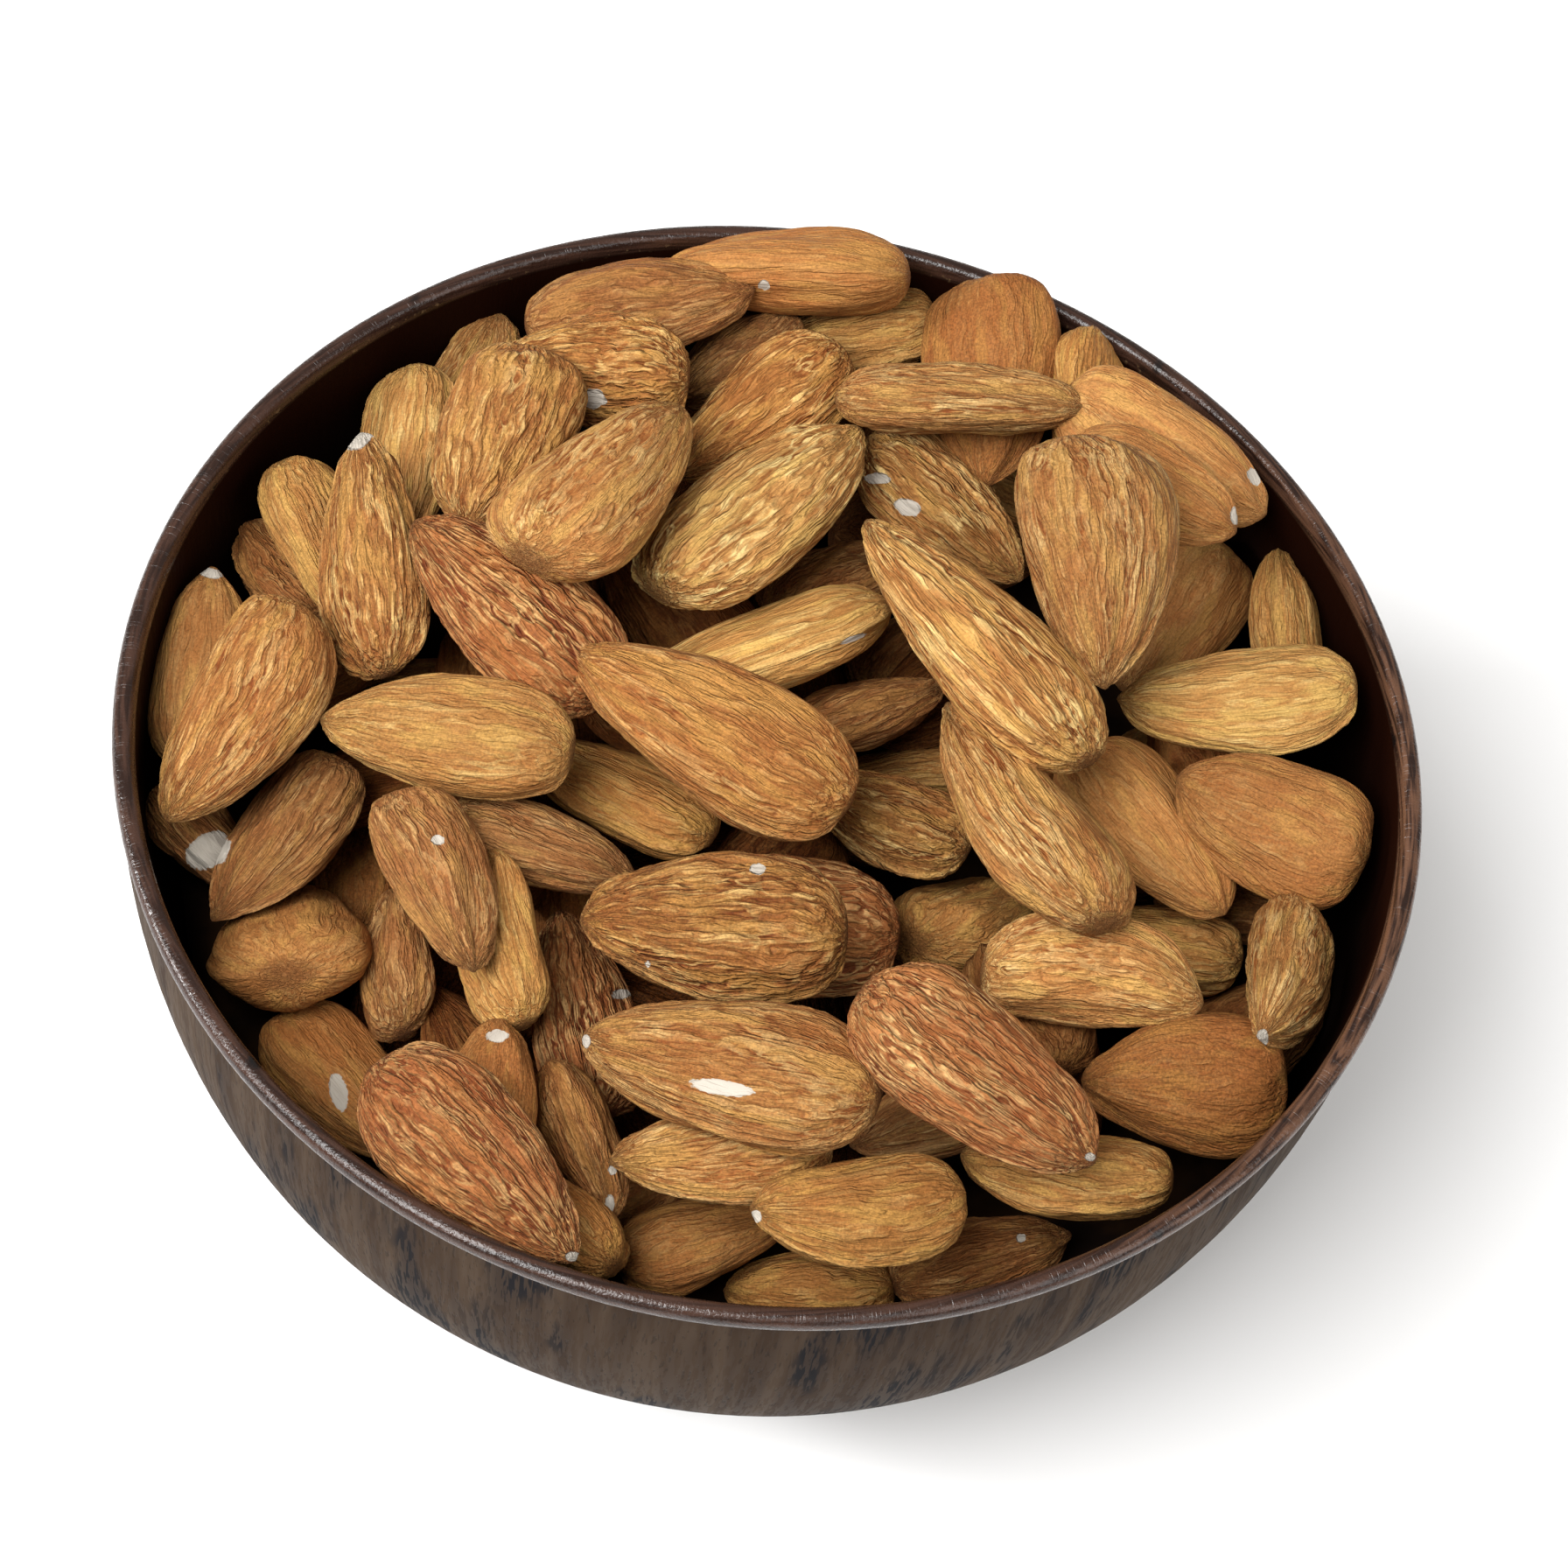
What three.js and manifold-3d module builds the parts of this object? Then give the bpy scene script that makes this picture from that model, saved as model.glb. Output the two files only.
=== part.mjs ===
// A small turned wooden bowl, heaped with whole almonds.
//
// Millimetres, +Z up. The origin is on the table, under the middle of the bowl's foot.
// The bowl is one turned solid. The almonds are one heap: a packed core that fills the
// bowl, with whole kernels standing out of its top in every direction.

import * as THREE from 'three';
import { mergeVertices } from 'three/addons/utils/BufferGeometryUtils.js';
import Module from 'manifold-3d';

const wasm = await Module();
wasm.setup();

// ---- driving dimensions ---------------------------------------------------------------

// Bowl, outside
const RIM_RADIUS = 58;
const RIM_HEIGHT = 60;
const WALL_RADIUS = 57.6;
const WALL_DEPTH = 57.2;
const WALL_ROUNDNESS = 2.5;

// Bowl, inside
const HOLLOW_RADIUS = 56;
const HOLLOW_DEPTH = 52.2;
const HOLLOW_ROUNDNESS = 2.45;

// Lip: a narrow rounded bead, its crest nearer the inside
const LIP_HEIGHT = 1.7;
const LIP_CREST_RADIUS = 56.9;

// Foot
const FOOT_RADIUS = 26;
const FOOT_NECK = 0.9;
const FOOT_BEVEL = 0.6;

// Heap of almonds
const HEAP_CREST = 4.5;
const HEAP_EDGE_DROP = 7;
const HEAP_SPREAD = 48;
const CORE_SINK = 5;
const FIT_GAP = 0.35;

// Kernels
const KERNEL_COUNT = 44;
const KERNEL_LENGTH = 24;
const KERNEL_WIDTH = 13.5;
const KERNEL_THICKNESS = 8.4;
const KERNEL_SINK = 2.6;
const KERNEL_TAPER = 0.3;
const KERNEL_SIZE_SPREAD = 0.12;
const KERNEL_PITCH = 26;
const KERNEL_ROLL = 38;
const SPIRAL_START = 70;
const SCATTER_SEED = 23;

// Facets
const ROUND_STEPS = 48;
const WALL_STEPS = 8;
const DOME_STEPS = 5;
const KERNEL_SIDES = 8;
const KERNEL_RINGS = 5;

// ---- helpers --------------------------------------------------------------------------

const GOLDEN_ANGLE = Math.PI * (3 - Math.sqrt(5));
const degrees = THREE.MathUtils.degToRad;

// Signed spread between -range and +range, the same in every run.
function spread(range) {
  return (2 * THREE.MathUtils.seededRandom() - 1) * range;
}

// A round solid with its axis along +Z, from a profile of [radius, height] pairs that
// starts and ends on the axis.
function turned(profile) {
  const points = profile.map(([radius, height]) => new THREE.Vector2(radius, height));
  const geometry = new THREE.LatheGeometry(points, ROUND_STEPS);
  geometry.rotateX(Math.PI / 2);
  return welded(geometry);
}

// Shared corners merged, and the triangles that collapse onto the axis dropped.
function welded(geometry) {
  const bare = geometry.clone();
  bare.deleteAttribute('normal');
  bare.deleteAttribute('uv');
  const merged = mergeVertices(bare, 1e-4);
  const corners = merged.index.array;
  const kept = [];
  for (let i = 0; i < corners.length; i += 3) {
    const [a, b, c] = corners.slice(i, i + 3);
    if (a !== b && b !== c && c !== a) kept.push(a, b, c);
  }
  merged.setIndex(kept);
  return merged;
}

function toSolid(geometry) {
  return new wasm.Manifold(new wasm.Mesh({
    numProp: 3,
    vertProperties: new Float32Array(geometry.attributes.position.array),
    triVerts: new Uint32Array(geometry.index.array),
  }));
}

function toGeometry(solid) {
  const mesh = solid.getMesh();
  const geometry = new THREE.BufferGeometry();
  geometry.setAttribute('position', new THREE.BufferAttribute(mesh.vertProperties, 3));
  geometry.setIndex(new THREE.BufferAttribute(mesh.triVerts, 1));
  geometry.computeVertexNormals();
  return geometry;
}

// ---- bowl -----------------------------------------------------------------------------

// One quarter of a rounded-square curve, from the rim plane (turn = 0) to the axis
// (turn = 90 degrees), as a [radius, height] pair.
function bulge(turn, radius, depth, roundness) {
  const across = Math.cos(turn) ** (2 / roundness);
  const down = Math.sin(turn) ** (2 / roundness);
  return [radius * across, RIM_HEIGHT - depth * down];
}

// The outer wall, from the top of the foot up to the underside of the lip.
function outerWall() {
  const lipTurn = Math.asin((LIP_HEIGHT / WALL_DEPTH) ** (WALL_ROUNDNESS / 2));
  const footTurn = Math.acos((FOOT_RADIUS / WALL_RADIUS) ** (WALL_ROUNDNESS / 2));
  const wall = [];
  for (let i = 0; i <= WALL_STEPS; i++) {
    const turn = THREE.MathUtils.lerp(footTurn, lipTurn, i / WALL_STEPS);
    wall.push(bulge(turn, WALL_RADIUS, WALL_DEPTH, WALL_ROUNDNESS));
  }
  return wall;
}

// The inner wall, from just inside the lip down to the middle of the floor. A clearance
// makes it smaller all round, for what lies in the bowl.
function innerWall(clearance) {
  const radius = HOLLOW_RADIUS - clearance;
  const depth = HOLLOW_DEPTH - clearance;
  const lipTurn = Math.asin((LIP_HEIGHT / depth) ** (HOLLOW_ROUNDNESS / 2));
  const wall = [];
  for (let i = 0; i < WALL_STEPS; i++) {
    const turn = THREE.MathUtils.lerp(lipTurn, Math.PI / 2, i / WALL_STEPS);
    wall.push(bulge(turn, radius, depth, HOLLOW_ROUNDNESS));
  }
  wall.push([0, RIM_HEIGHT - depth]);
  return wall;
}

function bowlGeometry() {
  const wall = outerWall();
  const neckHeight = wall[0][1] - FOOT_NECK;
  const foot = [
    [0, 0],
    [FOOT_RADIUS - FOOT_BEVEL, 0],
    [FOOT_RADIUS, FOOT_BEVEL],
    [FOOT_RADIUS - FOOT_NECK, neckHeight],
  ];
  const lip = [
    [RIM_RADIUS, RIM_HEIGHT - LIP_HEIGHT * 0.75],
    [RIM_RADIUS, RIM_HEIGHT - LIP_HEIGHT * 0.4],
    [LIP_CREST_RADIUS + 0.6, RIM_HEIGHT - LIP_HEIGHT * 0.1],
    [LIP_CREST_RADIUS, RIM_HEIGHT],
    [HOLLOW_RADIUS + 0.25, RIM_HEIGHT - LIP_HEIGHT * 0.25],
  ];
  return turned([...foot, ...wall, ...lip, ...innerWall(0)]);
}

// ---- almonds --------------------------------------------------------------------------

// Height of the heap's top at a distance from the axis: a low dome, falling to the wall.
function heapTop(distance) {
  const across = distance / HOLLOW_RADIUS;
  return RIM_HEIGHT + HEAP_CREST - (HEAP_CREST + HEAP_EDGE_DROP) * across ** 2.6;
}

// A kernel that lies along +X: broad and blunt behind, drawn out to a point in front.
function kernelGeometry() {
  const geometry = new THREE.SphereGeometry(1, KERNEL_SIDES, KERNEL_RINGS);
  geometry.rotateZ(-Math.PI / 2);
  const place = geometry.attributes.position;
  for (let i = 0; i < place.count; i++) {
    const along = place.getX(i);
    const girth = 1 - KERNEL_TAPER * along;
    place.setXYZ(
      i,
      along * KERNEL_LENGTH / 2,
      place.getY(i) * girth * KERNEL_WIDTH / 2,
      place.getZ(i) * girth * KERNEL_THICKNESS / 2,
    );
  }
  return welded(geometry);
}

// Kernels spiral out from the middle at the golden angle, so that they cover the heap
// evenly, each with its own heading, tilt, roll and size.
function kernelPlaces() {
  THREE.MathUtils.seededRandom(SCATTER_SEED);
  const places = [];
  for (let i = 0; i < KERNEL_COUNT; i++) {
    const distance = HEAP_SPREAD * Math.sqrt((i + 0.5) / KERNEL_COUNT);
    const angle = degrees(SPIRAL_START) + i * GOLDEN_ANGLE;
    const lying = new THREE.Euler(
      degrees(spread(KERNEL_ROLL)),
      degrees(spread(KERNEL_PITCH)),
      angle + spread(Math.PI),
      'ZYX',
    );
    const size = 1 + spread(KERNEL_SIZE_SPREAD);
    places.push(new THREE.Matrix4().compose(
      new THREE.Vector3(
        distance * Math.cos(angle),
        distance * Math.sin(angle),
        heapTop(distance) - KERNEL_SINK,
      ),
      new THREE.Quaternion().setFromEuler(lying),
      new THREE.Vector3(size, size, size),
    ));
  }
  return places;
}

// The packed middle of the heap, as high as the gaps between the top kernels are deep.
function coreGeometry() {
  const dome = [];
  for (let i = DOME_STEPS; i >= 0; i--) {
    const distance = RIM_RADIUS * i / DOME_STEPS;
    dome.push([distance, heapTop(distance) - CORE_SINK]);
  }
  return turned([[0, 0], [RIM_RADIUS, 0], ...dome]);
}

// Everything that fits in the bowl: its hollow less a small gap, and the space above it.
function roomGeometry() {
  const wall = innerWall(FIT_GAP).reverse();
  const [topRadius] = wall[wall.length - 1];
  return turned([...wall, [topRadius, 2 * RIM_HEIGHT], [0, 2 * RIM_HEIGHT]]);
}

function heapGeometry() {
  const kernel = kernelGeometry();
  let heap = toSolid(coreGeometry());
  for (const place of kernelPlaces()) {
    heap = heap.add(toSolid(kernel.clone().applyMatrix4(place)));
  }
  // The largest shell is the heap's outside; the rest are air pockets shut between kernels.
  const shells = heap.intersect(toSolid(roomGeometry())).decompose();
  shells.sort((a, b) => b.volume() - a.volume());
  return toGeometry(shells[0]);
}

// ---- materials ------------------------------------------------------------------------

const darkWood = new THREE.MeshStandardMaterial({
  color: new THREE.Color(0.115, 0.085, 0.065),
  roughness: 0.42,
  metalness: 0,
});

const almondSkin = new THREE.MeshStandardMaterial({
  color: new THREE.Color(0.42, 0.235, 0.1),
  roughness: 0.68,
  metalness: 0,
});

// ---- the object -----------------------------------------------------------------------

function part(name, geometry, material) {
  const mesh = new THREE.Mesh(geometry, material);
  mesh.name = name;
  return mesh;
}

const bowlOfAlmonds = new THREE.Group();
bowlOfAlmonds.add(part('bowl', bowlGeometry(), darkWood));
bowlOfAlmonds.add(part('almond_heap', heapGeometry(), almondSkin));

export default bowlOfAlmonds;
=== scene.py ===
# %% [markdown]
# # A bowl of almonds
#
# This lesson gives a small turned wooden bowl, heaped with whole almonds, its looks.
# The sizes come from a CAD model, which is loaded first as a fixed frame: the bowl and
# the heap are there as plain solids. The lesson builds a finer bowl and real almonds
# in the same place, one beside the other, and leaves the CAD solids for the physics.
# Lengths are in metres, +Z is up, and the middle of the bowl's foot is the origin.

import math
import random

import bmesh
import bpy
from mathutils import Euler, Matrix, Vector
from mathutils.bvhtree import BVHTree


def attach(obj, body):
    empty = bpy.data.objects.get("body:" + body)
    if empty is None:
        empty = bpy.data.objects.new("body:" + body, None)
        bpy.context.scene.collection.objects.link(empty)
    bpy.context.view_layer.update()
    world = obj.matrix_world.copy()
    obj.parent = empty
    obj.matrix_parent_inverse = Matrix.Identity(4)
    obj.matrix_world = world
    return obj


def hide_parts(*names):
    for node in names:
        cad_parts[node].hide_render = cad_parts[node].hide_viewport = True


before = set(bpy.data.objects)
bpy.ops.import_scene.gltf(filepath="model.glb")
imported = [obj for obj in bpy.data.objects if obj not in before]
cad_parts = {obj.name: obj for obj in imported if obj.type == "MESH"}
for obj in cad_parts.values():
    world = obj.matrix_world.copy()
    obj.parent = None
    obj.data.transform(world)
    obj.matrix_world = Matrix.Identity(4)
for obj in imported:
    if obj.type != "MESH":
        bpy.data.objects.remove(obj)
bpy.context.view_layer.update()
MM = 0.001

# %% [markdown]
# ## The camera
#
# The photograph was taken from in front and above, from close by, with the camera
# turned a little to the side, so the bowl's rim is a tilted ellipse. A camera is found
# from that ellipse: its shape gives the height of the view, its tilt gives the roll,
# and the difference between the near and far halves gives the distance. The camera
# comes first because the almonds are laid out by where they are seen.

# %% Camera
PHOTO_SIDE = 1792
FOCAL_PIXELS = 4600
CAMERA_DISTANCE = 0.355
CAMERA_HEIGHT_ANGLE = math.radians(56.46)
CAMERA_ROLL = math.radians(11.04)
RIM_HEIGHT = 0.060
RIM_CENTRE = Vector((0, 0, RIM_HEIGHT))
RIM_CENTRE_PIXEL = (888.7, 827.5)
SENSOR = 36

ahead = Vector((0, math.cos(CAMERA_HEIGHT_ANGLE), -math.sin(CAMERA_HEIGHT_ANGLE)))
level_side = Vector((1, 0, 0))
level_top = level_side.cross(ahead)
side = level_side * math.cos(CAMERA_ROLL) + level_top * math.sin(CAMERA_ROLL)
top = level_top * math.cos(CAMERA_ROLL) - level_side * math.sin(CAMERA_ROLL)


def sight(pixel):
    """The direction in which the camera sees a pixel, as long as the lens is far."""
    across = (pixel[0] - PHOTO_SIDE / 2) / FOCAL_PIXELS
    down = (pixel[1] - PHOTO_SIDE / 2) / FOCAL_PIXELS
    return ahead + side * across - top * down


CAMERA_PLACE = RIM_CENTRE - sight(RIM_CENTRE_PIXEL) * CAMERA_DISTANCE
turned = Matrix((side, top, -ahead)).transposed()
bpy.ops.object.camera_add(location=CAMERA_PLACE, rotation=turned.to_euler())
camera = bpy.context.object
camera.name = "camera"
camera.data.sensor_width = SENSOR
camera.data.lens = SENSOR * FOCAL_PIXELS / PHOTO_SIDE
camera.data.clip_start = 0.01
bpy.context.scene.camera = camera
print("camera at", [round(x, 3) for x in CAMERA_PLACE], "lens", round(camera.data.lens, 1))

# %% [markdown]
# ## A small toolbox
#
# Blender's operators work on whatever is selected. These helpers make that explicit:
# one selects a single object, one picks vertices in edit mode by where they are, and
# one applies a modifier. Everything below is built with them and with the operators
# that a hand would use in the viewport.

# %% Helpers for operators
def only(piece):
    """Makes a piece the one that operators work on."""
    bpy.ops.object.select_all(action="DESELECT")
    piece.select_set(True)
    bpy.context.view_layer.objects.active = piece
    return piece


def pick(piece, test):
    """In edit mode, selects the vertices whose place passes a test."""
    bpy.ops.mesh.select_all(action="DESELECT")
    work = bmesh.from_edit_mesh(piece.data)
    for vertex in work.verts:
        if test(vertex.co):
            vertex.select_set(True)
    work.select_flush_mode()
    bmesh.update_edit_mesh(piece.data)


def finish_with(piece, kind, **settings):
    """Adds a modifier, sets it, and applies it."""
    only(piece)
    modifier = piece.modifiers.new(kind.title(), kind)
    for name, value in settings.items():
        setattr(modifier, name, value)
    bpy.ops.object.modifier_apply(modifier=modifier.name)


def triangles(piece):
    return sum(len(face.vertices) - 2 for face in piece.data.polygons)


# %% [markdown]
# ## Floor and light
#
# The picture is a plain product picture: pale floor, soft light. A broad lamp stands
# over the bowl to the left, a small low one at the left gives the ridges their shadows,
# and a weak one fills in from the right. The world gives an even, slightly warm light,
# so the gaps are dark but nothing has a hard shadow. The colours are shown as they are,
# without the film curve that would dull the browns.

# %% Floor and lamps
bpy.context.scene.view_settings.view_transform = "Standard"

bpy.ops.object.select_all(action="DESELECT")
bpy.ops.mesh.primitive_plane_add(size=6, location=(0, 0, 0))
floor = bpy.context.object
floor.name = "floor"

pale = bpy.data.materials.new("pale_floor")
pale.use_nodes = True
pale_skin = pale.node_tree.nodes["Principled BSDF"]
pale_skin.inputs["Base Color"].default_value = (0.86, 0.86, 0.86, 1)
pale_skin.inputs["Roughness"].default_value = 0.9
floor.data.materials.append(pale)

world = bpy.data.worlds.new("soft_world")
bpy.context.scene.world = world
world.use_nodes = True
world.node_tree.nodes["Background"].inputs["Color"].default_value = (1, 0.96, 0.91, 1)
world.node_tree.nodes["Background"].inputs["Strength"].default_value = 0.36


def lamp(name, place, width, power):
    """A square soft lamp that points at the heap."""
    towards = Vector((0, 0, 0.05)) - Vector(place)
    bpy.ops.object.light_add(
        type="AREA", location=place, rotation=towards.to_track_quat("-Z", "Y").to_euler()
    )
    made = bpy.context.object
    made.name = name
    made.data.size = width
    made.data.energy = power


lamp("key_lamp", (-0.28, -0.32, 0.72), 0.45, 9.5)
lamp("fill_lamp", (0.55, -0.35, 0.60), 0.6, 3)
lamp("side_lamp", (-0.75, -0.10, 0.40), 0.14, 4.5)

# %% [markdown]
# ## The bowl
#
# The bowl was turned on a lathe from dark hardwood: a round body, a narrow rounded
# lip, and a low foot. A ring of vertices is the blank. It is extruded and resized
# again and again along the profile: round the foot, up the outside, over the lip and
# down the inside to the floor. This way leaves no seam and no pole on the visible wall,
# as a spun profile could. The wall is a quarter of a rounded square, taken from the
# CAD source with the same numbers.

# %% Bowl profile
RIM_RADIUS = 58 * MM
WALL_RADIUS, WALL_DEPTH, WALL_ROUNDNESS = 57.6 * MM, 57.2 * MM, 2.5
HOLLOW_RADIUS, HOLLOW_DEPTH, HOLLOW_ROUNDNESS = 56 * MM, 52.2 * MM, 2.45
LIP_HEIGHT = 1.7 * MM
FOOT_RADIUS, FOOT_NECK = 26 * MM, 0.9 * MM
WALL_STEPS = 26


def bulge(turn, radius, depth, roundness):
    """A point of the wall's curve, from the rim (turn 0) to the axis (a quarter turn)."""
    across = math.cos(turn) ** (2 / roundness)
    down = math.sin(turn) ** (2 / roundness)
    return radius * across, RIM_HEIGHT - depth * down


def wall(start, end, *shape):
    """Points of the wall's curve, spread evenly between two turns."""
    return [bulge(start + (end - start) * i / WALL_STEPS, *shape) for i in range(WALL_STEPS + 1)]


foot_turn = math.acos((FOOT_RADIUS / WALL_RADIUS) ** (WALL_ROUNDNESS / 2))
lip_turn = math.asin((LIP_HEIGHT / WALL_DEPTH) ** (WALL_ROUNDNESS / 2))
mouth_turn = math.asin((LIP_HEIGHT / HOLLOW_DEPTH) ** (HOLLOW_ROUNDNESS / 2))
outside = wall(foot_turn, lip_turn, WALL_RADIUS, WALL_DEPTH, WALL_ROUNDNESS)
inside = wall(mouth_turn, math.radians(88), HOLLOW_RADIUS, HOLLOW_DEPTH, HOLLOW_ROUNDNESS)
foot = [
    (FOOT_RADIUS - 0.6 * MM, 0),
    (FOOT_RADIUS - 0.15 * MM, 0.15 * MM),
    (FOOT_RADIUS, 0.6 * MM),
    (FOOT_RADIUS - 0.2 * MM, 1.2 * MM),
    (FOOT_RADIUS - FOOT_NECK, outside[0][1] - 0.3 * MM),
]
lip = [
    (RIM_RADIUS - 0.05 * MM, RIM_HEIGHT - 1.30 * MM),
    (RIM_RADIUS, RIM_HEIGHT - 0.90 * MM),
    (RIM_RADIUS - 0.08 * MM, RIM_HEIGHT - 0.50 * MM),
    (RIM_RADIUS - 0.30 * MM, RIM_HEIGHT - 0.22 * MM),
    (RIM_RADIUS - 0.65 * MM, RIM_HEIGHT - 0.06 * MM),
    (RIM_RADIUS - 1.05 * MM, RIM_HEIGHT),
    (RIM_RADIUS - 1.40 * MM, RIM_HEIGHT - 0.08 * MM),
    (RIM_RADIUS - 1.68 * MM, RIM_HEIGHT - 0.32 * MM),
    (RIM_RADIUS - 1.85 * MM, RIM_HEIGHT - 0.70 * MM),
    (RIM_RADIUS - 1.95 * MM, RIM_HEIGHT - 1.20 * MM),
]
profile = foot + outside + lip + inside
print("bowl profile:", len(profile), "rings")

# %% Bowl
ROUND = 160


def extrude_along(rings):
    """Extrudes the selected ring of edges from one (radius, height) to the next."""
    for (radius, height), (next_radius, next_height) in zip(rings, rings[1:]):
        rise = (0, 0, next_height - height)
        bpy.ops.mesh.extrude_edges_move(TRANSFORM_OT_translate={"value": rise})
        grown = next_radius / radius
        bpy.ops.transform.resize(value=(grown, grown, 1), center_override=(0, 0, next_height))


def turn_solid(name, sides, rings, inset=0):
    """A closed round solid, from its underside round to the middle of its top."""
    bpy.ops.object.select_all(action="DESELECT")
    bpy.ops.mesh.primitive_circle_add(vertices=sides, radius=rings[0][0], location=(0, 0, 0))
    piece = bpy.context.object
    piece.name = name
    bpy.ops.object.mode_set(mode="EDIT")
    bpy.ops.mesh.select_mode(type="VERT")
    bpy.ops.mesh.select_all(action="SELECT")
    bpy.ops.transform.translate(value=(0, 0, rings[0][1]))
    bpy.ops.mesh.edge_face_add()
    if inset:
        bpy.ops.mesh.inset(thickness=inset)
    bpy.ops.mesh.poke()
    pick(piece, lambda place: place.to_2d().length > rings[0][0] - 1e-6)
    extrude_along(rings)
    bpy.ops.mesh.edge_face_add()
    bpy.ops.mesh.poke()
    bpy.ops.mesh.select_all(action="SELECT")
    bpy.ops.mesh.normals_make_consistent(inside=False)
    bpy.ops.object.mode_set(mode="OBJECT")
    return piece


bowl = turn_solid("turned_bowl", ROUND, profile, 6 * MM)
print("bowl:", triangles(bowl), "triangles")

# %% [markdown]
# The lip has been knocked: at the front right there is a nick in it, and its crest is
# nowhere quite even. The nick's place is read from the photograph as a pixel, and the
# line of sight through it meets the lip at the right spot. The nearest vertices are
# pressed down, less and less over a few millimetres.

# %% Wear on the lip
NICK_PIXEL = (1519, 1236)
NICK_DEPTH = 0.55 * MM
NICK_REACH = 3.5 * MM
WAVE_DEPTH = 0.05 * MM


def seen_at_height(pixel, height):
    """Where the line of sight through a pixel meets a level plane."""
    line = sight(pixel)
    return CAMERA_PLACE + line * ((height - CAMERA_PLACE.z) / line.z)


nick = seen_at_height(NICK_PIXEL, RIM_HEIGHT)
nick_angle = math.atan2(nick.y, nick.x)


def on_lip(vertex_place):
    return vertex_place.z > RIM_HEIGHT - 1.4 * MM and vertex_place.to_2d().length > 55 * MM


for vertex in bowl.data.vertices:
    if on_lip(vertex.co):
        angle = math.atan2(vertex.co.y, vertex.co.x)
        away = abs(math.remainder(angle - nick_angle, math.tau)) * RIM_RADIUS
        dent = NICK_DEPTH * max(0, 1 - away / NICK_REACH) ** 2
        ripple = math.sin(3 * angle + 1) + 0.5 * math.sin(7 * angle) + 0.3 * math.sin(19 * angle)
        vertex.co.z -= dent + WAVE_DEPTH * (1.8 + ripple)
only(bowl)
bpy.ops.object.shade_smooth_by_angle(angle=math.radians(40))
print("nick in the lip at", [round(x / MM, 1) for x in nick])

# %% [markdown]
# ## One almond, before its skin
#
# A shelled almond is a flattened drop: round behind, widest before the middle, drawn
# out to a point in front. No two are alike, but there are a few families: plain drops,
# slender ones, plump ones, beans with a bend. Each family is modelled once as a
# mould. A sphere is laid on its side, and then each of its rings is moved along to
# its station and resized to its girth, as a hand would do with proportional patience.
# A subdivision surface smooths the cage. The mould is one unit long, wide and thick,
# so a copy is brought to its real size by three plain factors.

# %% Stations and girths
# Along the almond, from the round end (0) to the tip (1).
STATIONS = (0.012, 0.05, 0.115, 0.20, 0.30, 0.40, 0.50, 0.60, 0.70, 0.795, 0.875, 0.94, 0.982)
GIRTHS = {
    "drop": (0.31, 0.60, 0.82, 0.95, 1.0, 0.995, 0.96, 0.895, 0.795, 0.67, 0.51, 0.32, 0.13),
    "slender": (0.29, 0.56, 0.77, 0.91, 0.98, 1.0, 0.985, 0.935, 0.845, 0.72, 0.56, 0.36, 0.15),
    "plump": (0.36, 0.67, 0.88, 0.98, 1.0, 0.98, 0.935, 0.865, 0.765, 0.63, 0.47, 0.29, 0.12),
    "bean": (0.35, 0.65, 0.85, 0.95, 0.99, 1.0, 0.985, 0.95, 0.88, 0.775, 0.62, 0.41, 0.18),
    "broad": (0.33, 0.65, 0.86, 0.97, 1.0, 0.995, 0.965, 0.91, 0.825, 0.71, 0.55, 0.35, 0.14),
    "lance": (0.28, 0.55, 0.77, 0.92, 0.99, 1.0, 0.97, 0.905, 0.80, 0.66, 0.49, 0.30, 0.12),
    "wedge": (0.34, 0.64, 0.85, 0.96, 1.0, 0.975, 0.92, 0.84, 0.73, 0.59, 0.43, 0.25, 0.09),
    "lopsided": (0.32, 0.62, 0.83, 0.95, 1.0, 0.995, 0.965, 0.91, 0.825, 0.70, 0.54, 0.34, 0.13),
}
# How far the middle bows out to one side, as a share of the width.
BOWS = {"bean": 0.16, "lopsided": 0.11, "wedge": 0.08, "slender": 0.05, "lance": 0.04}
CAGE_SIDES = 24


# %% [markdown]
# The veins of the skin run from the tip to the round end, and the pattern has to
# follow them on every almond, whichever way it lies. So each vertex keeps its place
# on the skin in an attribute: the direction round the long axis (two numbers, so that
# there is no seam) and the place along it. Towards the ends the two numbers shrink to
# nought, so that the veins run together softly instead of in a star. It is written on
# the cage, and the subdivision carries it to the new vertices.

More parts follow.
